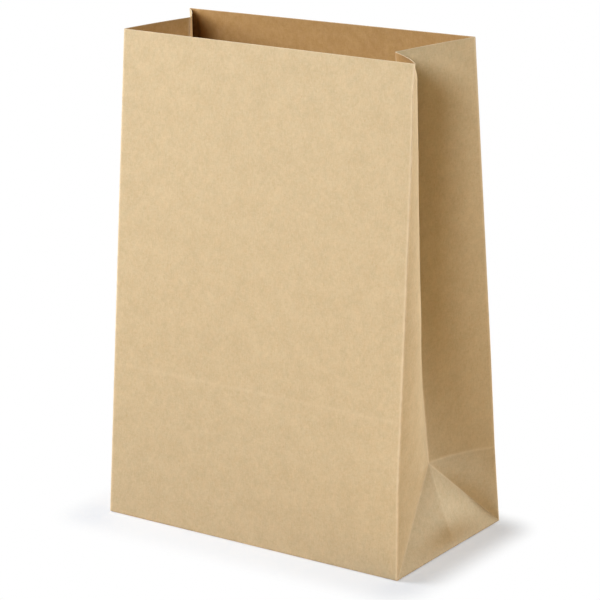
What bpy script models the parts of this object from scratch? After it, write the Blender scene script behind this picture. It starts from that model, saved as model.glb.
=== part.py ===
"""A brown paper lunch bag: one sheet of kraft paper, folded to a gusseted tube with a block bottom.

It stands open on its glued base, its front panel leaning back and its side gussets tucked in at the
mouth, as a bag does that has just been opened. +Z is up, the front panel faces -Y, and +X is to the
right of someone who looks at the front panel. The origin is under the middle of the base.
"""

import math

import bmesh
import bpy
from mathutils import Vector

# Driving sizes of the bag, in metres
WIDTH = 0.180
DEPTH = 0.090
HEIGHT = 0.250
PAPER = 0.00015

# How far each corner of the mouth stands in from its panel's bottom edge, and from the side
FRONT_LEFT_LEAN = 0.0337
FRONT_RIGHT_LEAN = 0.0292
BACK_RIGHT_LEAN = 0.0094
BACK_LEFT_LEAN = 0.0035
FRONT_LEFT_INSET = 0.0008
BACK_INSET = 0.0005

# The mouth is cut a little out of square: how much paper each corner has above or below HEIGHT
FRONT_LEFT_CUT = -0.0014
FRONT_RIGHT_CUT = -0.0009
BACK_RIGHT_CUT = 0.0
BACK_LEFT_CUT = -0.0034

# The tips of the gussets' middle creases at the mouth: in from the side, forward of the mouth's
# middle line, and above or below the corners
RIGHT_TUCK = 0.0326
RIGHT_TIP_FORWARD = -0.0043
RIGHT_TIP_RISE = -0.0049
LEFT_TUCK = 0.0263
LEFT_TIP_FORWARD = 0.0048
LEFT_TIP_RISE = 0.0038

# The triangle at each end of the base leans in to its tip. Its middle crease is a low ridge that fades
# out at the floor, which it meets a little in from the end and behind the middle
APEX_INSET = 0.0110
RIDGE_FOOT_INSET = 0.0004
RIDGE_FOOT_BEHIND = 0.0060
RIDGE_SLOPE = 0.12
RIDGE_EASE = 0.018

# The right front crease stands forward of the line from its foot to the mouth, most at half a depth up
CREASE_FORWARD = 0.0020

# The creases left by the flat bag's folded-up bottom, as heights up the paper, and their dip
BACK_FOLD_HEIGHT = 0.0401
IMPRINT_HEIGHT = 0.0785
CREASE_DIP = 0.0006

# Between its creases a gusset's front half bows out: little at the base triangle's tip, in full from
# FULL_BOW_HEIGHT up, and not at all at the cut edge. Its back half bows in, but bulges below its fold
FRONT_BOW_HIGH = 0.0050
FRONT_BOW_LOW = 0.0022
BACK_BOW_HIGH = -0.0010
BACK_BOW_LOW = -0.0028
FOLD_BULGE = 0.0012
FULL_BOW_HEIGHT = 0.120
STRAIGHT_EDGE = 0.018

# The glued bottom and the glued lengthwise seam
BOTTOM_LAP = 0.010
SEAM_LAP = 0.014
SEAM_FROM_LEFT = 0.005
SEAM_SETBACK = 0.0006
FLAP_SETBACK = 0.0001
GLUE_BITE = 0.00004
WALL_REACH = 0.8 * PAPER
SAME_POINT = 0.000001

# Cells of the folded grid: along a panel, along half a gusset, and up the wall
PANEL_CELLS = 10
HALF_CELLS = 6
MIDDLE_CELLS = 3
UPPER_CELLS = 10

BASE_LEVEL = 2 * PAPER
HALF = DEPTH / 2
KRAFT = (0.62, 0.47, 0.29, 1.0)
KRAFT_ROUGHNESS = 0.85


def remove_everything():
    for obj in list(bpy.data.objects):
        bpy.data.objects.remove(obj, do_unlink=True)


def new_collection(name, hidden=False):
    collection = bpy.data.collections.new(name)
    collection.hide_render = hidden
    bpy.context.scene.collection.children.link(collection)
    return collection


def kraft_material():
    material = bpy.data.materials.new("brown_kraft_paper")
    material.use_nodes = True
    shader = material.node_tree.nodes["Principled BSDF"]
    shader.inputs["Base Color"].default_value = KRAFT
    shader.inputs["Roughness"].default_value = KRAFT_ROUGHNESS
    shader.inputs["Metallic"].default_value = 0.0
    return material


def mouth_corner(side, face, inset, lean, cut):
    """The top of a corner crease: the crease keeps its length as its panel leans in."""
    length = HEIGHT + cut
    rise = math.sqrt(length * length - lean * lean)
    return Vector((side * (WIDTH / 2 - inset), face * (HALF - lean), BASE_LEVEL + rise))


def base_corner(side, face):
    return Vector((side * WIDTH / 2, face * HALF, BASE_LEVEL))


LEFT, RIGHT, FRONT, BACK = -1, 1, -1, 1
FOOT = {(s, f): base_corner(s, f) for s in (LEFT, RIGHT) for f in (FRONT, BACK)}
MOUTH = {
    (LEFT, FRONT): mouth_corner(LEFT, FRONT, FRONT_LEFT_INSET, FRONT_LEFT_LEAN, FRONT_LEFT_CUT),
    (RIGHT, FRONT): mouth_corner(RIGHT, FRONT, 0.0, FRONT_RIGHT_LEAN, FRONT_RIGHT_CUT),
    (RIGHT, BACK): mouth_corner(RIGHT, BACK, BACK_INSET, BACK_RIGHT_LEAN, BACK_RIGHT_CUT),
    (LEFT, BACK): mouth_corner(LEFT, BACK, BACK_INSET, BACK_LEFT_LEAN, BACK_LEFT_CUT),
}


def tuck_tip(side, tuck, forward, rise):
    """Where a gusset's middle crease ends at the mouth."""
    middle = (MOUTH[side, FRONT] + MOUTH[side, BACK]) / 2
    return Vector((side * (WIDTH / 2 - tuck), middle.y - forward, middle.z + rise))


TIP = {
    RIGHT: tuck_tip(RIGHT, RIGHT_TUCK, RIGHT_TIP_FORWARD, RIGHT_TIP_RISE),
    LEFT: tuck_tip(LEFT, LEFT_TUCK, LEFT_TIP_FORWARD, LEFT_TIP_RISE),
}


def apex(side):
    """The tip of the triangle at an end of the base, half a depth up the paper."""
    rise = math.sqrt(HALF * HALF - APEX_INSET * APEX_INSET)
    return Vector((side * (WIDTH / 2 - APEX_INSET), 0.0, BASE_LEVEL + rise))


def tent(v, peak, reach):
    """1 at the peak, falling evenly to 0 at reach on either side of it."""
    return max(0.0, 1.0 - abs(v - peak) / reach)


def corner_crease(side, face, v):
    """A point on one of the four long corner creases, at the grid height v.

    The grid's row at half a depth runs down to the fold across the back panel, which lies lower.
    """
    if face == FRONT:
        point = FOOT[side, face].lerp(MOUTH[side, face], v / HEIGHT)
        if side == RIGHT:
            point.y -= CREASE_FORWARD * min(v / HALF, (HEIGHT - v) / (HEIGHT - HALF))
        return point
    along = v - (HALF - BACK_FOLD_HEIGHT) * tent(v, HALF, HALF)
    point = FOOT[side, face].lerp(MOUTH[side, face], along / HEIGHT)
    point.y -= CREASE_DIP * tent(v, HALF, HALF)
    return point


def middle_crease(side, v):
    """A point on a gusset's middle crease, above the base triangle's tip."""
    return apex(side).lerp(TIP[side], (v - HALF) / (HEIGHT - HALF))


def diagonal(side, face, v):
    """A point on the slanting crease from a base corner to the triangle's tip."""
    return FOOT[side, face].lerp(apex(side), v / HALF)


def bowed(start, end, share, bow, side):
    """A point between two creases, on paper that bows out sideways by bow at its middle."""
    point = start.lerp(end, share)
    chord = end - start
    across = Vector((abs(chord.y), chord.x * (1 if chord.y < 0 else -1), 0.0))
    if across.length > 0:
        across.normalize()
        across.x *= side
        across.y *= side
    return point + across * bow * 4 * share * (1 - share)


def bow_at(face, v):
    """How far a gusset half bows out at paper height v, or in where it is negative."""
    share = v / HALF
    if face == BACK and share < 1:
        return BACK_BOW_LOW * share**3 + FOLD_BULGE * 4 * share * (1 - share)
    if face == BACK:
        return BACK_BOW_LOW + (BACK_BOW_HIGH - BACK_BOW_LOW) * (v - HALF) / (HEIGHT - HALF)
    if share < 1:
        return FRONT_BOW_LOW * share
    full = FRONT_BOW_LOW + (FRONT_BOW_HIGH - FRONT_BOW_LOW) * min(1.0, (v - HALF) / (FULL_BOW_HEIGHT - HALF))
    return full * min(1.0, (HEIGHT - v) / STRAIGHT_EDGE)


def ridge(side, v):
    """A point on the middle crease of the triangle at an end of the base."""
    middle = (FOOT[side, FRONT] + FOOT[side, BACK]) / 2
    foot = middle + Vector((-side * RIDGE_FOOT_INSET, RIDGE_FOOT_BEHIND, 0.0))
    point = foot.lerp(apex(side), v / HALF)
    rise = min(1.0, v / RIDGE_EASE)
    point.x += side * RIDGE_SLOPE * (HALF - v) * rise * rise * (3 - 2 * rise)
    return point


def gusset_half(side, face, share, v):
    """share runs from the corner crease, 0, to the gusset's middle, 1."""
    crease = corner_crease(side, face, v)
    if v >= HALF:
        return bowed(crease, middle_crease(side, v), share, bow_at(face, v), side)
    reach = v / HALF
    slant = diagonal(side, face, v)
    if share < reach:
        return bowed(crease, slant, share / reach, bow_at(face, v), side)
    return slant.lerp(ridge(side, v), (share - reach) / (1 - reach))


def panel(face, share, v):
    """share runs from the left corner crease, 0, to the right one, 1."""
    point = corner_crease(LEFT, face, v).lerp(corner_crease(RIGHT, face, v), share)
    if face == FRONT:
        point.y += CREASE_DIP * tent(v, IMPRINT_HEIGHT, IMPRINT_HEIGHT) * 4 * share * (1 - share)
    return point


def wall_heights():
    """Heights of the grid's rows up the paper, with rows on the creases."""
    lower = [HALF * i / HALF_CELLS for i in range(HALF_CELLS)]
    middle = [HALF + (IMPRINT_HEIGHT - HALF) * i / MIDDLE_CELLS for i in range(MIDDLE_CELLS)]
    straight = HEIGHT - STRAIGHT_EDGE
    upper = [IMPRINT_HEIGHT + (straight - IMPRINT_HEIGHT) * i / UPPER_CELLS for i in range(UPPER_CELLS)]
    return lower + middle + upper + [straight, HEIGHT - STRAIGHT_EDGE / 2, HEIGHT]


def around():
    """The grid's columns, from the front panel's left crease round to it again."""
    columns = []
    columns += [("panel", FRONT, 0, i / PANEL_CELLS) for i in range(PANEL_CELLS)]
    columns += [("half", FRONT, RIGHT, i / HALF_CELLS) for i in range(HALF_CELLS)]
    columns += [("half", BACK, RIGHT, 1 - i / HALF_CELLS) for i in range(HALF_CELLS)]
    columns += [("panel", BACK, 0, 1 - i / PANEL_CELLS) for i in range(PANEL_CELLS)]
    columns += [("half", BACK, LEFT, i / HALF_CELLS) for i in range(HALF_CELLS)]
    columns += [("half", FRONT, LEFT, 1 - i / HALF_CELLS) for i in range(HALF_CELLS + 1)]
    return columns


def folded_point(column, v):
    kind, face, side, share = column
    if kind == "panel":
        return panel(face, share, v)
    return gusset_half(side, face, share, v)


def grid_of(bm, columns, rows):
    """A flat grid of faces, as many columns and rows as asked, with its points in row order."""
    made = bmesh.ops.create_grid(bm, x_segments=columns - 1, y_segments=rows - 1, size=1.0)
    points = sorted(made["verts"], key=lambda p: (round(p.co.y, 5), round(p.co.x, 5)))
    return [points[row * columns : (row + 1) * columns] for row in range(rows)]


def fold_walls(bm):
    heights, columns = wall_heights(), around()
    grid = grid_of(bm, len(columns), len(heights))
    for row, v in zip(grid, heights):
        for point, column in zip(row, columns):
            point.co = folded_point(column, v)
    crease_diagonals(bm, grid)


def crease_diagonals(bm, grid):
    """Splits the cells that the slanting creases cross, along the crease."""
    right_front = PANEL_CELLS
    right_back = PANEL_CELLS + 2 * HALF_CELLS
    left_back = right_back + PANEL_CELLS
    left_front = left_back + 2 * HALF_CELLS
    for start, step in ((right_front, 1), (right_back, -1), (left_back, 1), (left_front, -1)):
        for i in range(HALF_CELLS):
            ends = [grid[i][start + step * i], grid[i + 1][start + step * (i + 1)]]
            bmesh.ops.connect_verts(bm, verts=ends)


def lay_base(bm):
    """The base sheet, with its edge points on the walls' bottom row."""
    halves = [(FRONT, i / HALF_CELLS) for i in range(HALF_CELLS)]
    halves += [(BACK, 1 - i / HALF_CELLS) for i in range(HALF_CELLS + 1)]
    grid = grid_of(bm, PANEL_CELLS + 1, len(halves))
    for row, (face, share) in zip(grid, halves):
        left, right = (gusset_half(side, face, share, 0.0) for side in (LEFT, RIGHT))
        for i, point in enumerate(row):
            point.co = left.lerp(right, i / PANEL_CELLS)


def object_from(bm, name, collection):
    mesh = bpy.data.meshes.new(name)
    bm.to_mesh(mesh)
    bm.free()
    obj = bpy.data.objects.new(name, mesh)
    collection.objects.link(obj)
    return obj


def face_outwards(bm):
    """An open box's faces, turned out by the base sheet, which must look down."""
    bmesh.ops.recalc_face_normals(bm, faces=bm.faces)
    lowest = min(bm.faces, key=lambda f: f.calc_center_median().z)
    if lowest.normal.z > 0:
        bmesh.ops.reverse_faces(bm, faces=bm.faces)


def solidify(obj, thickness):
    modifier = obj.modifiers.new("Paper", "SOLIDIFY")
    modifier.thickness = thickness
    modifier.offset = -1.0
    modifier.use_even_offset = True
    modifier.use_rim = True


def make_bag_sheet(collection):
    bm = bmesh.new()
    fold_walls(bm)
    lay_base(bm)
    bmesh.ops.remove_doubles(bm, verts=bm.verts, dist=SAME_POINT)
    face_outwards(bm)
    bag = object_from(bm, "paper_bag", collection)
    solidify(bag, PAPER)
    return bag


def flat_piece(name, outline, low, high, collection):
    """A flat piece of paper with this outline, from height low to height high."""
    curve = bpy.data.curves.new(name, "CURVE")
    curve.dimensions = "2D"
    curve.fill_mode = "BOTH"
    curve.extrude = (high - low) / 2
    spline = curve.splines.new("POLY")
    spline.points.add(len(outline) - 1)
    for point, (x, y) in zip(spline.points, outline):
        point.co = (x, y, 0.0, 1.0)
    spline.use_cyclic_u = True
    drawn = bpy.data.objects.new(name + "_outline", curve)
    collection.objects.link(drawn)
    drawn.location.z = (low + high) / 2
    bpy.context.view_layer.update()
    evaluated = drawn.evaluated_get(bpy.context.evaluated_depsgraph_get())
    mesh = bpy.data.meshes.new_from_object(evaluated)
    piece = bpy.data.objects.new(name, mesh)
    collection.objects.link(piece)
    piece.matrix_world = drawn.matrix_world.copy()
    bm = bmesh.new()
    bm.from_mesh(mesh)
    bmesh.ops.remove_doubles(bm, verts=bm.verts, dist=SAME_POINT)
    bmesh.ops.recalc_face_normals(bm, faces=bm.faces)
    bm.to_mesh(mesh)
    bm.free()
    bpy.data.objects.remove(drawn, do_unlink=True)
    return piece


def long_flap_outline(face):
    """A long flap of the bottom: from its own long edge to past the middle, its ends at 45 degrees."""
    edge = HALF - FLAP_SETBACK
    far = -BOTTOM_LAP
    end = WIDTH / 2 - 2 * FLAP_SETBACK
    slant = HALF
    tip = end - slant
    return [
        (-end, face * edge),
        (-tip, face * FLAP_SETBACK),
        (-tip, face * far),
        (tip, face * far),
        (tip, face * FLAP_SETBACK),
        (end, face * edge),
    ]


def end_flap_outline(side):
    """An end flap, glued down inside: the full depth of the bag, and past the middle of the depth."""
    outer = WIDTH / 2 - WALL_REACH
    inner = WIDTH / 2 - HALF - BOTTOM_LAP
    edge = HALF - WALL_REACH
    crease = (side * (outer - RIDGE_FOOT_INSET), RIDGE_FOOT_BEHIND)
    corners = [(outer, edge), (inner, edge), (inner, -edge), (outer, -edge)]
    return [crease] + [(side * x, y) for x, y in corners]


def make_bottom_flaps(collection):
    floor = BASE_LEVEL + PAPER
    return [
        flat_piece("outer_flap", long_flap_outline(BACK), 0.0, PAPER, collection),
        flat_piece("inner_flap", long_flap_outline(FRONT), PAPER - GLUE_BITE, BASE_LEVEL + GLUE_BITE, collection),
        flat_piece("right_end_flap", end_flap_outline(RIGHT), floor - GLUE_BITE, floor + PAPER, collection),
        flat_piece("left_end_flap", end_flap_outline(LEFT), floor - GLUE_BITE, floor + PAPER, collection),
    ]


def make_seam(collection):
    """The second layer of the lengthwise glue seam, on the inside of the back panel."""
    first = SEAM_FROM_LEFT / WIDTH
    last = first + SEAM_LAP / WIDTH
    heights = [min(max(v, SEAM_SETBACK), HEIGHT - SEAM_SETBACK) for v in wall_heights()]
    half_sheet = PAPER / 2
    bm = bmesh.new()
    grid = grid_of(bm, 2, len(heights))
    for row, v in zip(grid, heights):
        for point, share in zip(row, (first, last)):
            point.co = panel(BACK, share, v)
            point.co.y -= half_sheet
    for face in bm.faces:
        face.normal_update()
    if sum(face.normal.y for face in bm.faces) < 0:
        bmesh.ops.reverse_faces(bm, faces=bm.faces)
    seam = object_from(bm, "seam_layer", collection)
    solidify(seam, half_sheet + PAPER)
    return seam


def glue_on(bag, piece):
    piece.hide_render = True
    piece.display_type = "WIRE"
    union = bag.modifiers.new(piece.name, "BOOLEAN")
    union.operation = "UNION"
    union.solver = "EXACT"
    union.object = piece


remove_everything()
bag_collection = new_collection("paper_lunch_bag")
glued_collection = new_collection("glued_layers", hidden=True)
paper_bag = make_bag_sheet(bag_collection)
for layer in make_bottom_flaps(glued_collection) + [make_seam(glued_collection)]:
    glue_on(paper_bag, layer)
paper_bag.data.materials.append(kraft_material())
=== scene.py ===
"""Looks of a brown kraft paper lunch bag that stands open on its glued block bottom."""

import math

import bmesh
import bpy
from mathutils import Matrix, Vector, noise


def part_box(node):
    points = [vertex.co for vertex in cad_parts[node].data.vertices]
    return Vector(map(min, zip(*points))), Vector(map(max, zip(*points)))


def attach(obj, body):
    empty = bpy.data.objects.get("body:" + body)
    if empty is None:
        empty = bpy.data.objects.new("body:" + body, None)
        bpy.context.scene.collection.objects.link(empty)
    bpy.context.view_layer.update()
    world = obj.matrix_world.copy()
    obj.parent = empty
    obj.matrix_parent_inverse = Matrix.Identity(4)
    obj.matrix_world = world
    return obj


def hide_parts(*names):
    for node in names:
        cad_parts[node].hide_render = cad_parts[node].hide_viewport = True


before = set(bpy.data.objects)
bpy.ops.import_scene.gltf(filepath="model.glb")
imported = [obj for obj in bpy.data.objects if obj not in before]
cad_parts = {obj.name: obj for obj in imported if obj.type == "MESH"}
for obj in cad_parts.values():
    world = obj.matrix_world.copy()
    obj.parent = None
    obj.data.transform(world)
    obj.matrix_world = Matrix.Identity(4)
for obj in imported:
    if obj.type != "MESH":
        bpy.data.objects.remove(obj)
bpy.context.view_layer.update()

# The folded sheet
# One sheet of brown kraft paper, wrapped to a tube and glued along a lap on the back panel. The tube
# is creased into two panels and two gussets, and its lower end is folded under to the block bottom.
# All the creases are pressed in by the bag machine, so they run straight and stay a little rounded.
base_low, base_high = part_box("paper_bag")
WIDTH = base_high.x - base_low.x
DEPTH = base_high.y - base_low.y
HEIGHT = 0.250
HALF = DEPTH / 2
PAPER = 0.00012
LAYER = 0.00015
LEFT, RIGHT, FRONT, BACK = -1, 1, -1, 1

# At the mouth: how far each corner leans in, stands in from the side, and is cut above or below HEIGHT
LEAN = {(LEFT, FRONT): 0.0337, (RIGHT, FRONT): 0.0292, (RIGHT, BACK): 0.0094, (LEFT, BACK): 0.0035}
INSET = {(LEFT, FRONT): 0.0008, (RIGHT, FRONT): 0.0, (RIGHT, BACK): 0.0005, (LEFT, BACK): 0.0005}
CUT = {(LEFT, FRONT): -0.0014, (RIGHT, FRONT): -0.0009, (RIGHT, BACK): 0.0, (LEFT, BACK): -0.0034}

# The upper ends of the gussets' middle creases: in from the side, behind the mouth's middle, and up
TUCK = {RIGHT: 0.0326, LEFT: 0.0263}
TIP_BEHIND = {RIGHT: 0.0043, LEFT: -0.0048}
TIP_RISE = {RIGHT: -0.0049, LEFT: 0.0038}

# The triangle at each end of the base leans in to its apex. Its middle crease is a low ridge, which
# stands out and forward from a height of RIDGE_EASE up and fades to the apex
APEX_INSET = 0.0110
RIDGE_FOOT_INSET = 0.0004
RIDGE_FOOT_BEHIND = 0.0060
RIDGE_SLOPE = 0.12
RIDGE_EASE = 0.018
RIDGE_FORWARD = 1.4

# The right front crease stands forward of the line from its foot to the mouth. Just below the mouth it
# turns in: most at FLARE_START below the mouth, and no longer at FLARE_END
CREASE_FORWARD = 0.0020
FLARE, FLARE_START, FLARE_END = 0.0010, 0.012, 0.045

# Creases left by the bottom when the flat bag had it folded up
BACK_FOLD_HEIGHT = 0.0401
IMPRINT_HEIGHT = 0.0785
CREASE_DIP = 0.0006

# Between their creases the gussets' front halves bow out and their back halves bow in. Within
# NEAR_MOUTH of the mouth the front bow flattens to its MOUTH_BOW share
FRONT_BOW_HIGH = 0.0050
FRONT_BOW_LOW = 0.0022
BACK_BOW_LOW = -0.0028
BACK_BOW_HIGH = -0.0010
FOLD_BULGE = 0.0012
FULL_BOW_HEIGHT = 0.120
NEAR_MOUTH = {RIGHT: 0.011, LEFT: 0.030}
MOUTH_BOW = 0.20

# The levels of the bottom's layers, from below: the two long flaps, their folded ends and the end flaps
BOTTOM_REACH = HALF + 0.010
BASE_LEVEL = 2 * LAYER
LONG_FLAP_LEVEL = {BACK: 0.5 * LAYER, FRONT: 1.5 * LAYER}
FOLDED_END_LEVEL = 2.5 * LAYER
END_FLAP_LEVEL = 3.5 * LAYER

# The lengthwise seam, and how far from a crease its rounding reaches
SEAM_LAP = 0.014
SEAM_FROM_LEFT = 0.005
CREASE_RADIUS = 0.0006


def foot(side, face):
    return Vector((side * WIDTH / 2, face * HALF, BASE_LEVEL))


def mouth_corner(side, face):
    length, lean = HEIGHT + CUT[side, face], LEAN[side, face]
    rise = math.sqrt(length**2 - lean**2)
    x = side * (WIDTH / 2 - INSET[side, face])
    return Vector((x, face * (HALF - lean), BASE_LEVEL + rise))


FOOT = {(s, f): foot(s, f) for s in (LEFT, RIGHT) for f in (FRONT, BACK)}
MOUTH = {(s, f): mouth_corner(s, f) for s in (LEFT, RIGHT) for f in (FRONT, BACK)}
TIP, APEX = {}, {}
for side in (LEFT, RIGHT):
    middle = (MOUTH[side, FRONT] + MOUTH[side, BACK]) / 2
    tip_x = side * (WIDTH / 2 - TUCK[side])
    TIP[side] = Vector((tip_x, middle.y + TIP_BEHIND[side], middle.z + TIP_RISE[side]))
    rise = math.sqrt(HALF**2 - APEX_INSET**2)
    APEX[side] = Vector((side * (WIDTH / 2 - APEX_INSET), 0.0, BASE_LEVEL + rise))


def tent(v, peak):
    """1 at the peak, falling evenly to 0 at the foot and as far above the peak."""
    return max(0.0, 1.0 - abs(v - peak) / peak)


def corner_crease(side, face, v):
    point = FOOT[side, face].lerp(MOUTH[side, face], v / HEIGHT)
    if face == BACK:
        along = v - (HALF - BACK_FOLD_HEIGHT) * tent(v, HALF)
        point = FOOT[side, face].lerp(MOUTH[side, face], along / HEIGHT)
        point.y -= CREASE_DIP * tent(v, HALF)
    elif side == RIGHT:
        point.y -= CREASE_FORWARD * min(max(0.0, v) / HALF, (HEIGHT - v) / (HEIGHT - HALF))
        down = max(0.0, HEIGHT - v)
        point.x -= FLARE * min(1.0, down / FLARE_START)**2 * max(0.0, 1.0 - down / FLARE_END)
    return point


def bow_at(side, face, v):
    """How far a gusset's half stands out from the straight line between its creases."""
    share = v / HALF
    if face == BACK:
        if share < 1:
            return BACK_BOW_LOW * share**3 + FOLD_BULGE * 4 * share * (1 - share)
        return BACK_BOW_LOW + (BACK_BOW_HIGH - BACK_BOW_LOW) * (v - HALF) / (HEIGHT - HALF)
    if share < 1:
        return FRONT_BOW_LOW * share
    risen = min(1.0, (v - HALF) / (FULL_BOW_HEIGHT - HALF))
    full = FRONT_BOW_LOW + (FRONT_BOW_HIGH - FRONT_BOW_LOW) * risen
    flatter = 1.0 - min(1.0, max(0.0, (HEIGHT - v) / NEAR_MOUTH[side]))
    return full * (1.0 - (1.0 - MOUTH_BOW) * flatter**2)


def bowed(start, end, share, bow, side):
    """A point between two creases, on paper that bows out by bow at its middle."""
    chord = end - start
    across = Vector((abs(chord.y), chord.x * (1 if chord.y < 0 else -1), 0.0))
    across = across.normalized() * side if across.length > 0 else across
    return start.lerp(end, share) + across * bow * 4 * share * (1 - share)


def gusset_half(side, face, away, v):
    """away is the distance along the paper from the corner crease, up to HALF at the middle crease."""
    crease, share = corner_crease(side, face, v), away / HALF
    if v >= HALF:
        middle = APEX[side].lerp(TIP[side], (v - HALF) / (HEIGHT - HALF))
        return bowed(crease, middle, share, bow_at(side, face, v), side)
    slant = FOOT[side, face].lerp(APEX[side], v / HALF)
    if away < v:
        return bowed(crease, slant, away / v, bow_at(side, face, v), side)
    middle = (FOOT[side, FRONT] + FOOT[side, BACK]) / 2
    ridge = middle + Vector((-side * RIDGE_FOOT_INSET, RIDGE_FOOT_BEHIND, 0.0))
    ridge = ridge.lerp(APEX[side], v / HALF)
    rise = min(1.0, v / RIDGE_EASE)
    push = RIDGE_SLOPE * (HALF - v) * rise * rise * (3 - 2 * rise)
    ridge += Vector((side * push, -RIDGE_FORWARD * push, 0.0))
    return slant.lerp(ridge, (away - v) / (HALF - v))


def panel(face, from_left, v):
    share = from_left / WIDTH
    point = corner_crease(LEFT, face, v).lerp(corner_crease(RIGHT, face, v), share)
    if face == FRONT:
        point.y += CREASE_DIP * tent(v, IMPRINT_HEIGHT) * 4 * share * (1 - share)
    return point


def bottom_flap(face, from_left, depth):
    """A long flap of the bottom. Its ends are folded over at 45 degrees and lie above it."""
    from_end = min(from_left, WIDTH - from_left)
    side = LEFT if from_left < WIDTH / 2 else RIGHT
    ins, down, level = from_end, depth, LONG_FLAP_LEVEL[face]
    if depth > from_end:
        ins, down, level = depth, from_end, FOLDED_END_LEVEL
    return Vector((side * (WIDTH / 2 - ins), face * (HALF - down), level))


def end_flap(side, face, away, depth):
    return Vector((side * (WIDTH / 2 - depth), face * (HALF - away), END_FLAP_LEVEL))


# The sheet's zones as it goes round: the inner layer of the lap and the rest of the back panel, the
# right gusset, the front panel, the left gusset, and the back panel up to the lap's outer edge
LAP_START = SEAM_FROM_LEFT
LAP_END = LAP_START + SEAM_LAP
LAP_EASE = 0.003
ZONES = [
    ("lap", BACK, RIGHT, LAP_START, WIDTH),
    ("half", BACK, RIGHT, 0.0, HALF),
    ("half", FRONT, RIGHT, HALF, 0.0),
    ("panel", FRONT, RIGHT, WIDTH, 0.0),
    ("half", FRONT, LEFT, 0.0, HALF),
    ("half", BACK, LEFT, HALF, 0.0),
    ("panel", BACK, LEFT, 0.0, LAP_END),
]


def zone_length(zone):
    return abs(zone[4] - zone[3])


def folded(zone, along, v):
    """A point of the sheet's outer face, at a distance along its zone and v up from the bottom fold."""
    kind, face, side = zone[:3]
    if kind == "half":
        away = min(max(along, 0.0), HALF)
        return end_flap(side, face, away, -v) if v < 0 else gusset_half(side, face, away, v)
    if v < 0:
        return bottom_flap(face, min(max(along, 0.0), WIDTH), -v)
    point = panel(face, along, v)
    if kind == "lap":
        point.y -= LAYER * min(1.0, max(0.0, (LAP_END + LAP_EASE - along) / LAP_EASE))
    return point


def sheet_point(u, v):
    """As folded, with u measured along the whole sheet."""
    for zone in ZONES:
        if u <= zone_length(zone) or zone is ZONES[-1]:
            return folded(zone, zone[3] + (u if zone[4] > zone[3] else -u), v)
        u -= zone_length(zone)


def rounded_point(u, v):
    """The mean of the sheet's points close by, which rounds every crease."""
    total = Vector((0.0, 0.0, 0.0))
    for du, dv in ((0, 0), (1, 0), (-1, 0), (0, 1), (0, -1)):
        total += sheet_point(u + du * CREASE_RADIUS, v + dv * CREASE_RADIUS)
    return total / 5


# The grid's lines lie close together beside each crease and 2.5 mm apart elsewhere. Lines within
# CLOSEST of each other count as one
CELL = 0.0025
BESIDE = [0.0, 0.0003, 0.0007, 0.0013]
CLOSEST, TOLERANCE = 0.0001, 0.000001


def between(start, end):
    """Distances from start to end, close together at both."""
    cells = max(1, round((end - start) / CELL))
    regular = [start + (end - start) * i / cells for i in range(1, cells)]
    return [start + d for d in BESIDE] + regular + [end - d for d in reversed(BESIDE)]


def joined(*spans):
    """Several spans in one rising list, each place once."""
    places = sorted(place for span in spans for place in span)
    return [p for i, p in enumerate(places) if i == 0 or p - places[i - 1] > CLOSEST]


corner_places = joined(between(0, HALF), between(HALF, BOTTOM_REACH))
middle_places = between(BOTTOM_REACH, WIDTH - BOTTOM_REACH)[len(BESIDE):-len(BESIDE)]
panel_places = joined(corner_places, middle_places, [WIDTH - p for p in corner_places])
zone_places = {
    "half": joined(between(0, HALF)),
    "panel": panel_places,
    "lap": joined(panel_places, [LAP_START, LAP_END, LAP_END + LAP_EASE]),
}
columns, run = [], 0.0
for zone in ZONES:
    low, high = min(zone[3], zone[4]), max(zone[3], zone[4])
    places = joined([p for p in zone_places[zone[0]] if low < p < high], [low, high])
    columns += [run + (p - low if zone[4] > zone[3] else high - p) for p in places]
    run += zone_length(zone)
columns = joined(columns)
rows = joined(
    [-d for d in corner_places],
    between(0, HALF),
    between(HALF, IMPRINT_HEIGHT),
    between(IMPRINT_HEIGHT, HEIGHT),
)
creases = [0.0]
for zone in ZONES:
    creases.append(creases[-1] + zone_length(zone))
RIGHT_MIDDLE, RIGHT_FRONT, LEFT_FRONT, LEFT_MIDDLE = creases[2:6]

# The paper's slight waves: each with its height, its waves to a metre along and up, and its seed. They
# calm down this close to a crease, to the base and, down to a share, to the mouth
WAVES = [(0.00045, 14, 11, 3.7), (0.00006, 55, 42, 8.1)]
CALM_CREASE, CALM_BASE, CALM_MOUTH, MOUTH_SHARE = 0.016, 0.030, 0.020, 0.35


def cockle(u, v):
    """How far the paper stands out from its smooth form: none at the creases and the base."""
    clear = min(abs(u - crease) for crease in creases)
    calm = min(1.0, clear / CALM_CREASE) * min(1.0, max(0.0, v) / CALM_BASE)
    calm *= MOUTH_SHARE + (1.0 - MOUTH_SHARE) * min(1.0, (HEIGHT - v) / CALM_MOUTH)
    waves = (size * noise.noise(Vector((u * along, v * up, seed))) for size, along, up, seed in WAVES)
    return calm * sum(waves)


bm = bmesh.new()
made = bmesh.ops.create_grid(bm, x_segments=len(columns) - 1, y_segments=len(rows) - 1, size=1.0)
grid = made["verts"]
grid.sort(key=lambda point: (round(point.co.y, 5), round(point.co.x, 5)))
flat = {}
for i, point in enumerate(grid):
    u, v = columns[i % len(columns)], rows[i // len(columns)]
    point.co = rounded_point(u, v)
    flat[point] = (u, v)

# The zones run clockwise seen from above, so the faces are turned to look outward
bmesh.ops.reverse_faces(bm, faces=bm.faces)
bm.normal_update()
shifts = {point: point.normal * cockle(*flat[point]) for point in grid}
for point, shift in shifts.items():
    point.co += shift


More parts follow.
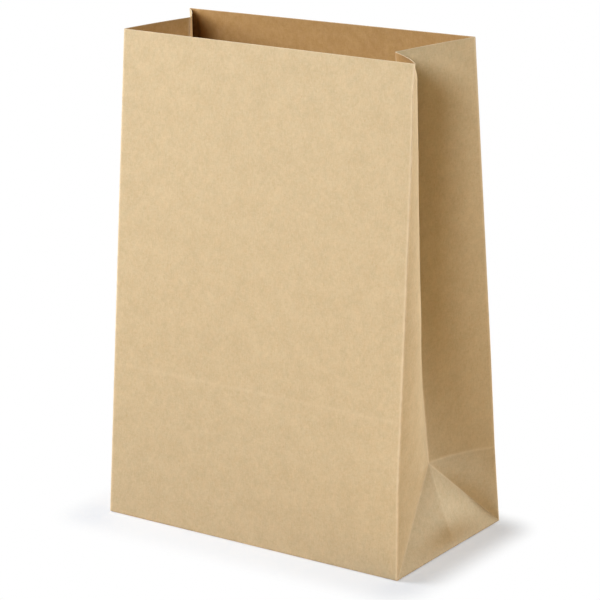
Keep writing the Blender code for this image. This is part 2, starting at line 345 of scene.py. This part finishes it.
def on_slant(point):
    """Whether a point lies on a slanting crease of a base triangle."""
    u, v = flat[point]
    nearest = min(abs(u - RIGHT_MIDDLE), abs(u - LEFT_MIDDLE))
    return 0 <= v <= HALF and abs(HALF - nearest - v) < TOLERANCE


# The slanting creases run corner to corner through the cells, and stay crisp
slant_points = [point for point in bm.verts if on_slant(point)]
bmesh.ops.connect_verts(bm, verts=slant_points)
for point in slant_points:
    for edge in point.link_edges:
        if on_slant(edge.other_vert(point)):
            edge.smooth = False


def under_lap(point):
    """Whether a point lies on the lap's inner layer, at the bottom fold or beyond it."""
    u, v = flat[point]
    return u <= SEAM_LAP + TOLERANCE and v <= TOLERANCE


# There the inner layer is trimmed, and the outer one carries on alone
trimmed = [face for face in bm.faces if all(under_lap(point) for point in face.verts)]
bmesh.ops.delete(bm, geom=trimmed, context="FACES")

# The sheet's own map is its flat pattern, one unit to 600 mm
MAP_SIZE = 0.600
pattern = bm.loops.layers.uv.new("flat_pattern")
for face in bm.faces:
    for loop in face.loops:
        u, v = flat[loop.vert]
        loop[pattern].uv = (u / MAP_SIZE, (v + BOTTOM_REACH) / MAP_SIZE)
    face.smooth = True
mesh = bpy.data.meshes.new("folded_sheet")
bm.to_mesh(mesh)
bm.free()
bag = bpy.data.objects.new("folded_sheet", mesh)
thickness = bag.modifiers.new("Paper", "SOLIDIFY")
thickness.thickness = PAPER
thickness.offset = -1.0
thickness.use_rim = True
thickness.material_offset = 1
thickness.material_offset_rim = 2


def add(tree, kind, inputs=None, **settings):
    """A node with its settings, and its inputs set or linked."""
    made = tree.nodes.new(kind)
    for name, value in settings.items():
        setattr(made, name, value)
    for name, value in (inputs or {}).items():
        if isinstance(value, bpy.types.NodeSocket):
            tree.links.new(value, made.inputs[name])
        else:
            made.inputs[name].default_value = value
    return made


def math_node(tree, operation, *values, clamp=False):
    inputs = dict(enumerate(values))
    return add(tree, "ShaderNodeMath", inputs, operation=operation, use_clamp=clamp).outputs[0]


def mix_colour(tree, factor, first, second, blend="MIX"):
    made = add(tree, "ShaderNodeMix", data_type="RGBA", blend_type=blend)
    for socket, value in ((0, factor), (6, first), (7, second)):
        if isinstance(value, bpy.types.NodeSocket):
            tree.links.new(value, made.inputs[socket])
        else:
            made.inputs[socket].default_value = value
    return made.outputs[2]


# The paper's finish
# Uncoated brown kraft, pressed on rollers: long fibres that lie mostly up the bag, a cloudy formation,
# a few dark shives, and creases scuffed pale, their pale lines partly painted highlight on the creases'
# rounding. The inner face's darker, redder colour is painted shade and warm bounce inside the bag. The
# cut edge and the mouth's rim are pale, partly the paper's own and partly painted highlight.
OUTER_MAIN, OUTER_DARK = (0.604, 0.530, 0.375, 1.0), (0.502, 0.434, 0.288, 1.0)
# Painted shade: the inner face's colours are darker and redder than the outer ones, standing in for the
# shade and warm bounce inside the bag
INNER_SHADED_MAIN, INNER_SHADED_DARK = (0.492, 0.306, 0.120, 1.0), (0.415, 0.246, 0.090, 1.0)
# The pale of scuffed creases and of the cut edge, which also stands in as painted highlight on their
# rounding
PALE_WEAR_AND_HIGHLIGHT = (0.860, 0.775, 0.620, 1.0)
SHIVE = (0.420, 0.280, 0.140, 1.0)
REDDER = (0.780, 0.540, 0.330, 1.0)
KRAFT_ROUGHNESS, KRAFT_SPECULAR = 0.85, 0.25
RELIEF_STRENGTH, RELIEF_DEPTH = 0.3, 0.00006
MM = MAP_SIZE * 1000

# What each finer noise adds to the cloudy one and to the relief
MOTTLE_WEIGHT, GRAIN_WEIGHT, FIBRE_WEIGHT, CROSS_WEIGHT = 0.7, 0.9, 0.8, 0.6
GRAIN_RELIEF, FIBRE_RELIEF = 0.6, 0.5

# The gain and the offset that turn a noise into a mask, and how far two of the masks go at most
MAIN_RAMP, REDDER_RAMP, SHIVE_RAMP, PATCH_RAMP = (1.5, -2.45), (1.6, -0.55), (9.0, -6.2), (1.2, 0.15)
REDDER_MOST, SHIVE_MOST = 0.24, 0.30

# The pale lines, partly scuffed paper and partly painted highlight on the creases' rounding: half their
# width in millimetres, and their strength beside that of the long creases, which fade to BASE_WEAR
# inside the base triangles
LONG_WIDTH, BASE_WEAR = 1.8, 0.1
SLANT_WIDTH, SLANT_WEAR = 1.1, 0.45
FOLD_WIDTH, FOLD_WEAR_AND_HIGHLIGHT = 1.5, 0.45
IMPRINT_WIDTH, IMPRINT_WEAR = 2.2, 0.16
RIM_WIDTH, LINE_FALL = 0.5, 1.6


def shader_group(name, inputs, outputs):
    tree = bpy.data.node_groups.new(name, "ShaderNodeTree")
    for label, kind in inputs:
        tree.interface.new_socket(label, in_out="INPUT", socket_type=kind)
    for label, kind in outputs:
        tree.interface.new_socket(label, in_out="OUTPUT", socket_type=kind)
    return tree, tree.nodes.new("NodeGroupInput").outputs, tree.nodes.new("NodeGroupOutput").inputs


def clouds(tree, place, scale, detail, rough, stretch=(1, 1, 1), turn=0.0):
    """Noise over the flat pattern, with its scale per millimetre."""
    spot = add(tree, "ShaderNodeMapping", {"Vector": place, "Scale": stretch, "Rotation": (0, 0, turn)})
    settings = {"Vector": spot.outputs[0], "Scale": scale, "Detail": detail, "Roughness": rough}
    return add(tree, "ShaderNodeTexNoise", settings).outputs["Fac"]


def kraft_fibres_group():
    tree, given, out = shader_group(
        "kraft_fibres",
        [("Place", "NodeSocketVector"), ("Main", "NodeSocketColor"), ("Dark", "NodeSocketColor")],
        [("Colour", "NodeSocketColor"), ("Height", "NodeSocketFloat")],
    )
    place = given["Place"]
    formation = clouds(tree, place, scale=0.10, detail=5, rough=0.62)
    mottle = clouds(tree, place, scale=0.42, detail=3, rough=0.6, turn=1.1)
    tint = clouds(tree, place, scale=0.25, detail=4, rough=0.6, turn=0.7)
    grain = clouds(tree, place, scale=1.1, detail=3, rough=0.7)
    up_fibres = clouds(tree, place, scale=1.5, detail=2, rough=0.6, stretch=(1, 0.22, 1), turn=0.12)
    cross_fibres = clouds(tree, place, scale=1.4, detail=2, rough=0.6, stretch=(0.28, 1, 1), turn=-0.4)
    shives = clouds(tree, place, scale=0.9, detail=1, rough=0.4, stretch=(1, 0.45, 1), turn=0.3)
    fibres = math_node(tree, "MULTIPLY_ADD", cross_fibres, CROSS_WEIGHT, up_fibres)
    light = formation
    for finer, weight in ((mottle, MOTTLE_WEIGHT), (grain, GRAIN_WEIGHT), (fibres, FIBRE_WEIGHT)):
        light = math_node(tree, "MULTIPLY_ADD", finer, weight, light)
    share = math_node(tree, "MULTIPLY_ADD", light, *MAIN_RAMP, clamp=True)
    colour = mix_colour(tree, share, given["Dark"], given["Main"])
    redder = math_node(tree, "MULTIPLY_ADD", tint, *REDDER_RAMP, clamp=True)
    colour = mix_colour(tree, math_node(tree, "MULTIPLY", redder, REDDER_MOST), colour, REDDER)
    spots = math_node(tree, "MULTIPLY_ADD", shives, *SHIVE_RAMP, clamp=True)
    colour = mix_colour(tree, math_node(tree, "MULTIPLY", spots, SHIVE_MOST), colour, SHIVE)
    height = math_node(tree, "MULTIPLY", fibres, FIBRE_RELIEF)
    height = math_node(tree, "MULTIPLY_ADD", grain, GRAIN_RELIEF, height)
    tree.links.new(colour, out["Colour"])
    tree.links.new(height, out["Height"])
    return tree


def line(tree, distance, width):
    """1 on a line, falling to 0 at width millimetres from it."""
    share = math_node(tree, "MULTIPLY_ADD", distance, -1 / width, 1.0, clamp=True)
    return math_node(tree, "POWER", share, LINE_FALL)


def off(tree, value, middle):
    return math_node(tree, "ABSOLUTE", math_node(tree, "SUBTRACT", value, middle))


def most(tree, values):
    """The largest of several values."""
    largest = values[0]
    for value in values[1:]:
        largest = math_node(tree, "MAXIMUM", largest, value)
    return largest


def wear_and_highlight_lines_group():
    """A mask of the pale lines on the creases and along the mouth's cut edge, from the flat pattern:
    partly scuffed paper, partly painted highlight.
    """
    tree, given, out = shader_group(
        "wear_and_highlight_lines",
        [("Place", "NodeSocketVector")],
        [("Creases", "NodeSocketFloat"), ("Rim", "NodeSocketFloat")],
    )
    split = add(tree, "ShaderNodeSeparateXYZ", {"Vector": given["Place"]}).outputs
    along, up = split[0], math_node(tree, "SUBTRACT", split[1], BOTTOM_REACH * 1000)
    long_creases = [off(tree, along, crease * 1000) for crease in creases[1:-1]]
    wear_and_highlight_marks = most(tree, [line(tree, apart, LONG_WIDTH) for apart in long_creases])
    for middle in (RIGHT_MIDDLE, LEFT_MIDDLE):
        outward = math_node(tree, "SUBTRACT", HALF * 1000, off(tree, along, middle * 1000))
        on_gusset = math_node(tree, "GREATER_THAN", outward, 0.0)
        on_wall = math_node(tree, "GREATER_THAN", up, 0.0)
        inside = math_node(tree, "MULTIPLY", on_gusset, on_wall)
        base = math_node(tree, "MULTIPLY", math_node(tree, "GREATER_THAN", outward, up), inside)
        kept = math_node(tree, "MULTIPLY_ADD", base, BASE_WEAR - 1.0, 1.0)
        wear_and_highlight_marks = math_node(tree, "MULTIPLY", wear_and_highlight_marks, kept)
        apart = math_node(tree, "MULTIPLY", off(tree, outward, up), math.sqrt(0.5))
        slant = math_node(tree, "MULTIPLY", line(tree, apart, SLANT_WIDTH), inside)
        wear_and_highlight_marks = math_node(tree, "MAXIMUM", wear_and_highlight_marks, math_node(tree, "MULTIPLY", slant, SLANT_WEAR))

    # The sheet starts and ends on the back panel, so the back fold shows before and after the middles
    at_start = math_node(tree, "LESS_THAN", along, RIGHT_MIDDLE * 1000)
    at_end = math_node(tree, "GREATER_THAN", along, LEFT_MIDDLE * 1000)
    back_part = math_node(tree, "MAXIMUM", at_start, at_end)
    # The back fold's pale line is partly scuffed paper and partly painted highlight on the fold
    fold = math_node(tree, "MULTIPLY", line(tree, off(tree, up, HALF * 1000), FOLD_WIDTH), back_part)
    past_right = math_node(tree, "GREATER_THAN", along, RIGHT_FRONT * 1000)
    before_left = math_node(tree, "LESS_THAN", along, LEFT_FRONT * 1000)
    front_part = math_node(tree, "MULTIPLY", past_right, before_left)
    imprint = line(tree, off(tree, up, IMPRINT_HEIGHT * 1000), IMPRINT_WIDTH)
    imprint = math_node(tree, "MULTIPLY", imprint, front_part)
    wear_and_highlight_marks = math_node(tree, "MAXIMUM", wear_and_highlight_marks, math_node(tree, "MULTIPLY", fold, FOLD_WEAR_AND_HIGHLIGHT))
    wear_and_highlight_marks = math_node(tree, "MAXIMUM", wear_and_highlight_marks, math_node(tree, "MULTIPLY", imprint, IMPRINT_WEAR))
    uneven = clouds(tree, given["Place"], scale=0.22, detail=3, rough=0.5)
    patches = math_node(tree, "MULTIPLY_ADD", uneven, *PATCH_RAMP, clamp=True)
    tree.links.new(math_node(tree, "MULTIPLY", wear_and_highlight_marks, patches), out["Creases"])
    below_rim = math_node(tree, "SUBTRACT", HEIGHT * 1000, up)
    tree.links.new(line(tree, below_rim, RIM_WIDTH), out["Rim"])
    return tree


kraft_fibres, wear_and_highlight_lines = kraft_fibres_group(), wear_and_highlight_lines_group()


def kraft(name, main, dark, wear_and_highlight, rim):
    material = bpy.data.materials.new(name)
    material.use_nodes = True
    tree = material.node_tree
    shader = tree.nodes["Principled BSDF"]
    shader.inputs["Roughness"].default_value = KRAFT_ROUGHNESS
    shader.inputs["Specular IOR Level"].default_value = KRAFT_SPECULAR
    place = add(tree, "ShaderNodeUVMap", uv_map="flat_pattern").outputs[0]
    place = add(tree, "ShaderNodeMapping", {"Vector": place, "Scale": (MM, MM, MM)}).outputs[0]
    fibres = add(tree, "ShaderNodeGroup", node_tree=kraft_fibres)
    tree.links.new(place, fibres.inputs["Place"])
    fibres.inputs["Main"].default_value = main
    fibres.inputs["Dark"].default_value = dark
    wear_and_highlight_marks = add(tree, "ShaderNodeGroup", node_tree=wear_and_highlight_lines)
    tree.links.new(place, wear_and_highlight_marks.inputs["Place"])
    # The crease lines and the rim are made pale: partly scuffed paper and cut edge, partly painted
    # highlight
    scuffs_and_highlights = math_node(tree, "MULTIPLY", wear_and_highlight_marks.outputs["Creases"], wear_and_highlight)
    pale = math_node(tree, "MAXIMUM", scuffs_and_highlights, math_node(tree, "MULTIPLY", wear_and_highlight_marks.outputs["Rim"], rim))
    colour = mix_colour(tree, pale, fibres.outputs["Colour"], PALE_WEAR_AND_HIGHLIGHT)
    tree.links.new(colour, shader.inputs["Base Color"])
    relief = {"Strength": RELIEF_STRENGTH, "Distance": RELIEF_DEPTH, "Height": fibres.outputs["Height"]}
    bump = add(tree, "ShaderNodeBump", relief)
    tree.links.new(bump.outputs[0], shader.inputs["Normal"])
    return material


mesh.materials.append(kraft("kraft_outer_face", OUTER_MAIN, OUTER_DARK, wear_and_highlight=0.9, rim=0.5))
mesh.materials.append(kraft("kraft_inner_face", INNER_SHADED_MAIN, INNER_SHADED_DARK, wear_and_highlight=0.35, rim=0.4))
# The cut edge is pale: partly the paper's own colour, partly painted highlight on the edge
mesh.materials.append(kraft("kraft_cut_edge", PALE_WEAR_AND_HIGHLIGHT, OUTER_MAIN, wear_and_highlight=0.0, rim=0.0))
bpy.context.scene.collection.objects.link(bag)
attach(bag, "root")
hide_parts("paper_bag")

# The floor
# A plain matt white sheet under the bag, which runs out to a white background. It takes the soft
# shadow that the bag throws round its foot. A warm sheet just under it, which the camera doesn't see,
# throws light back up on the bag.
FLOOR_WHITE, FLOOR_LIFT = (0.62, 0.65, 0.70, 1.0), 0.33
FLOOR_RADIUS = 3.0
# The warm sheet's darker colour is painted shade, used beside the right gusset
WARM_SHEET, WARM_SHEET_PAINTED_SHADE = (0.95, 0.65, 0.34, 1.0), (0.63, 0.43, 0.22, 1.0)
WARM_SHEET_BELOW = 0.0003

# The shadow shows in full up to SHADOW_REACH from this rectangle, and fades out at SHADOW_END. Beside
# the right gusset the warm sheet has painted shade: its colour is darker there, standing in for the
# floor's shade, so that it throws less light back up on the bag.
SHADOW_MIDDLE, SHADOW_SIZE = (0.0, -0.009), (0.184, 0.082)
SHADOW_REACH, SHADOW_END = 0.004, 0.026
PAINTED_SHADE_MIDDLE, PAINTED_SHADE_SIZE, PAINTED_SHADE_REACH = (WIDTH / 2 + 0.020, 0.0), (0.040, DEPTH), 0.058


def floor_sheet(name, level):
    bm = bmesh.new()
    bmesh.ops.create_circle(bm, cap_ends=True, segments=96, radius=FLOOR_RADIUS)
    sheet_mesh = bpy.data.meshes.new(name)
    bm.to_mesh(sheet_mesh)
    bm.free()
    sheet = bpy.data.objects.new(name, sheet_mesh)
    sheet.location.z = level
    material = bpy.data.materials.new(name)
    material.use_nodes = True
    material.node_tree.nodes.remove(material.node_tree.nodes["Principled BSDF"])
    sheet_mesh.materials.append(material)
    bpy.context.scene.collection.objects.link(sheet)
    return sheet, material.node_tree


def beyond(tree, middle, size, start, end):
    """0 over a rectangle of the floor and as far as start beyond it, rising to 1 at end."""
    place = add(tree, "ShaderNodeTexCoord").outputs["Object"]
    spot = add(tree, "ShaderNodeSeparateXYZ", {"Vector": place}).outputs
    squares = []
    for axis in (0, 1):
        apart = math_node(tree, "SUBTRACT", off(tree, spot[axis], middle[axis]), size[axis] / 2)
        squares.append(math_node(tree, "POWER", math_node(tree, "MAXIMUM", apart, 0.0), 2.0))
    away = math_node(tree, "SQRT", math_node(tree, "ADD", *squares))
    limits = {"Value": away, "From Min": start, "From Max": end}
    return add(tree, "ShaderNodeMapRange", limits, interpolation_type="SMOOTHSTEP").outputs[0]


floor, tree = floor_sheet("white_floor", 0.0)
floor.visible_diffuse = False
floor.visible_glossy = False
floor.visible_shadow = False
surface = add(tree, "ShaderNodeBsdfDiffuse", {"Color": FLOOR_WHITE})
lift = add(tree, "ShaderNodeEmission", {"Strength": FLOOR_LIFT})
lit = add(tree, "ShaderNodeAddShader", {0: surface.outputs[0], 1: lift.outputs[0]})
white = add(tree, "ShaderNodeEmission", {"Strength": 1.0})
fade = beyond(tree, SHADOW_MIDDLE, SHADOW_SIZE, SHADOW_REACH, SHADOW_END)
ground = add(tree, "ShaderNodeMixShader", {0: fade, 1: lit.outputs[0], 2: white.outputs[0]})
tree.links.new(ground.outputs[0], tree.nodes["Material Output"].inputs["Surface"])
warm_sheet, tree = floor_sheet("warm_sheet", -WARM_SHEET_BELOW)
warm_sheet.visible_camera = False
# Painted shade: the warm sheet is darker beside the right gusset, so it throws less light back up there
colour = mix_colour(tree, beyond(tree, PAINTED_SHADE_MIDDLE, PAINTED_SHADE_SIZE, 0.0, PAINTED_SHADE_REACH), WARM_SHEET_PAINTED_SHADE, WARM_SHEET)
surface = add(tree, "ShaderNodeBsdfDiffuse", {"Color": colour})
tree.links.new(surface.outputs[0], tree.nodes["Material Output"].inputs["Surface"])

# The light
# Soft lamps in front of the bag, at its left and behind it at the right, in a dim white room, which
# looks white where the camera sees it. The lamp behind doesn't light the white floor.
SKY = 0.01
bag_side = bpy.data.collections.new("bag_side")
everything = bpy.data.collections.new("everything")
for lit_object in (bag, warm_sheet):
    bag_side.objects.link(lit_object)
for lit_object in (bag, warm_sheet, floor):
    everything.objects.link(lit_object)
LAMPS = {
    "front_lamp": {"azimuth": 13, "height": 31, "distance": 1.15, "size": 0.42, "level": 0.51},
    "left_lamp": {"azimuth": -70, "height": 30, "distance": 1.15, "size": 0.60, "level": 0.86},
    "back_lamp": {"azimuth": 160, "height": 42, "distance": 2.30, "size": 0.84, "level": 1.28},
}
LIGHTS = {"front_lamp": everything, "left_lamp": everything, "back_lamp": bag_side}
AIM = Vector((0.0, 0.0, 0.13))
for name, plan in LAMPS.items():
    azimuth, height = math.radians(plan["azimuth"]), math.radians(plan["height"])
    flat_way = Vector((math.sin(azimuth), -math.cos(azimuth), 0.0)) * math.cos(height)
    towards = flat_way + Vector((0.0, 0.0, math.sin(height)))
    lamp = bpy.data.lights.new(name, "AREA")
    lamp.shape = "DISK"
    lamp.size = plan["size"]
    lamp.energy = plan["level"] * (math.pi * plan["distance"]) ** 2
    lamp_object = bpy.data.objects.new(name, lamp)
    lamp_object.location = AIM + towards * plan["distance"]
    lamp_object.rotation_euler = towards.to_track_quat("Z", "Y").to_euler()
    bpy.context.scene.collection.objects.link(lamp_object)
    lamp_object.light_linking.receiver_collection = LIGHTS[name]
world = bpy.data.worlds.new("white_room")
bpy.context.scene.world = world
world.use_nodes = True
tree = world.node_tree
rays = add(tree, "ShaderNodeLightPath").outputs
clear = math_node(tree, "MAXIMUM", rays["Is Glossy Ray"], rays["Is Transmission Ray"])
seen = math_node(tree, "MAXIMUM", rays["Is Camera Ray"], clear)
background = tree.nodes["Background"]
background.inputs["Color"].default_value = (1.0, 1.0, 1.0, 1.0)
tree.links.new(math_node(tree, "MULTIPLY_ADD", seen, 1.0 - SKY, SKY), background.inputs["Strength"])

# The camera
# It looks down at the bag's front right corner from about one and a half metres, with a long lens. Its
# yaw, pitch and roll are in radians.
PIXELS, FOCAL_PIXELS = 600, 2924.65
YAW, PITCH, ROLL = 0.6519, 0.3046, -0.0452
CAMERA_DISTANCE = 1.44908
target = Vector((0.0047795, 0.0, 0.1160554))
back = Vector((math.sin(YAW) * math.cos(PITCH), -math.cos(YAW) * math.cos(PITCH), math.sin(PITCH)))
across = Vector((math.cos(YAW), math.sin(YAW), 0.0))
upright = back.cross(across)
right = across * math.cos(ROLL) + upright * math.sin(ROLL)
up = upright * math.cos(ROLL) - across * math.sin(ROLL)
camera_data = bpy.data.cameras.new("camera")
camera_data.sensor_width = 36.0
camera_data.lens = FOCAL_PIXELS / PIXELS * camera_data.sensor_width
camera_data.clip_end = 20.0
camera = bpy.data.objects.new("camera", camera_data)
turn = Matrix((right, up, back)).transposed().to_4x4()
camera.matrix_world = Matrix.Translation(target + back * CAMERA_DISTANCE) @ turn
bpy.context.scene.collection.objects.link(camera)
bpy.context.scene.camera = camera
bpy.context.scene.view_settings.view_transform = "Standard"
